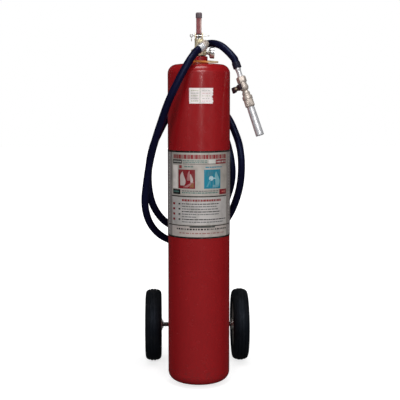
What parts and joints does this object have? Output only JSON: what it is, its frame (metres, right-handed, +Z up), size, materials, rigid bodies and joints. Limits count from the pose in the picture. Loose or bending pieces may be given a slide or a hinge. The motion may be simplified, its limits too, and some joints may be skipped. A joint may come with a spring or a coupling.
{
  "type": "wheeled fire extinguisher",
  "caption": "Tall red powder cylinder on two wheels, with a lever valve, a pressure gauge, a long looped hose with a shut-off nozzle, and a tow handle behind.",
  "frame": {"origin": "middle of the flat under the cylinder, on the floor", "axes": "+Z up along the cylinder, -Y to the front where the label is, wheels at +Y"},
  "size_m": [0.3966, 0.5187, 1.2175],
  "materials": {
    "red_paint": "gloss red enamel",
    "red_lever": "red enamel",
    "brass": "dull cast brass",
    "plated_steel": "bright zinc plate",
    "plated_brass": "nickel-washed brass",
    "chrome": "chrome",
    "aluminium": "satin aluminium",
    "steel": "plain steel",
    "black_plastic": "black moulded plastic",
    "white_plastic": "white printed dial",
    "clear_lens": "clear",
    "seal_rubber": "black seal rubber",
    "grip_rubber": "ribbed black grip",
    "tyre_rubber": "solid black rubber",
    "hose_rubber": "smooth navy hose cover",
    "ring_plastic": "orange plastic",
    "label_film": "printed silver film",
    "label_paper": "printed white sticker",
    "rim_paint": "dark enamel",
    "nylon": "natural nylon"
  },
  "bodies": {
    "cylinder": {"cylinder_shell": "red_paint", "neck_boss": "red_paint", "siphon_tube": "steel", "main_label": "label_film", "inspection_label": "label_paper", "valve_body": "brass", "valve_gasket": "seal_rubber", "valve_spring": "steel", "lever_pivot_pin": "steel", "gauge_case": "plated_steel", "gauge_dial": "white_plastic", "gauge_lens": "clear_lens", "outlet_elbow": "brass", "hose_nut": "plated_steel", "hose_ferrule": "plated_steel", "discharge_hose": "hose_rubber", "hose_cuff": "black_plastic", "hose_tail": "plated_steel", "swivel_nut": "plated_brass", "shutoff_body": "brass", "packing_nut": "brass", "lance_coupling": "plated_brass", "lance_tube": "aluminium", "wheel_washer_left": "steel", "wheel_washer_right": "steel", "split_pin_left": "steel", "split_pin_right": "steel", "axle": "steel", "axle_plate_left": "red_paint", "axle_plate_right": "red_paint", "tow_handle": "red_paint", "handle_grip": "grip_rubber", "handle_lug_left": "red_paint", "handle_lug_right": "red_paint", "handle_bolt_left": "steel", "handle_bolt_right": "steel", "hose_rack": "red_paint", "hose_saddle": "red_paint"},
    "lever": {"valve_lever": "red_lever", "lever_cam": "steel", "lever_cap": "black_plastic"},
    "stem": {"valve_stem": "steel", "seat_seal": "seal_rubber"},
    "pin": {"safety_pin": "steel"},
    "pin_ring": {"safety_pin_ring": "steel"},
    "needle": {"gauge_needle": "black_plastic"},
    "ring": {"maintenance_ring": "ring_plastic"},
    "shutoff": {"shutoff_ball": "chrome", "shutoff_stem": "brass", "shutoff_handle": "plated_steel", "handle_cover_near": "black_plastic", "handle_cover_far": "black_plastic"},
    "wheel_left": {"tyre_left": "tyre_rubber", "wheel_rim_left": "rim_paint", "wheel_bush_left": "nylon"},
    "wheel_right": {"tyre_right": "tyre_rubber", "wheel_rim_right": "rim_paint", "wheel_bush_right": "nylon"}
  },
  "joints": [
    {"name": "lever_turn", "type": "hinge", "parent": "cylinder", "child": "lever", "pos_m": [0, 0, 1.1425], "axis": [-1, 0, 0], "range_deg": [0, 90]},
    {"name": "stem_slide", "type": "slide", "parent": "cylinder", "child": "stem", "axis": [0, 0, -1], "range_m": [0, 0.0041], "deforming": ["valve_spring"]},
    {"name": "pin_pull", "type": "slide", "parent": "cylinder", "child": "pin", "axis": [-1, 0, 0], "range_m": [0, 0.065]},
    {"name": "pin_ring_swing", "type": "hinge", "parent": "pin", "child": "pin_ring", "pos_m": [-0.024, -0.0113, 1.1383], "axis": [1, 0, 0], "range_deg": [-55, 55]},
    {"name": "needle_swing", "type": "hinge", "parent": "cylinder", "child": "needle", "pos_m": [0.0445, 0, 1.088], "axis": [1, 0, 0], "range_deg": [-60, 110], "stiffness_Nm_per_rad": 0.0005},
    {"name": "ring_turn", "type": "hinge", "parent": "cylinder", "child": "ring", "pos_m": [0, 0, 1.06], "axis": [0, 0, 1], "continuous": true},
    {"name": "shutoff_turn", "type": "hinge", "parent": "cylinder", "child": "shutoff", "pos_m": [0.14463, -0.03328, 0.97648], "axis": [-0.8049, -0.5735, -0.1521], "range_deg": [0, 90]},
    {"name": "wheel_left_spin", "type": "hinge", "parent": "cylinder", "child": "wheel_left", "pos_m": [-0.155, 0.262, 0.128], "axis": [1, 0, 0], "continuous": true},
    {"name": "wheel_right_spin", "type": "hinge", "parent": "cylinder", "child": "wheel_right", "pos_m": [0.155, 0.262, 0.128], "axis": [1, 0, 0], "continuous": true}
  ],
  "couplings": [
    {"joint": "stem_slide", "follows": "lever_turn", "m_per_rad": 0.002546}
  ]
}
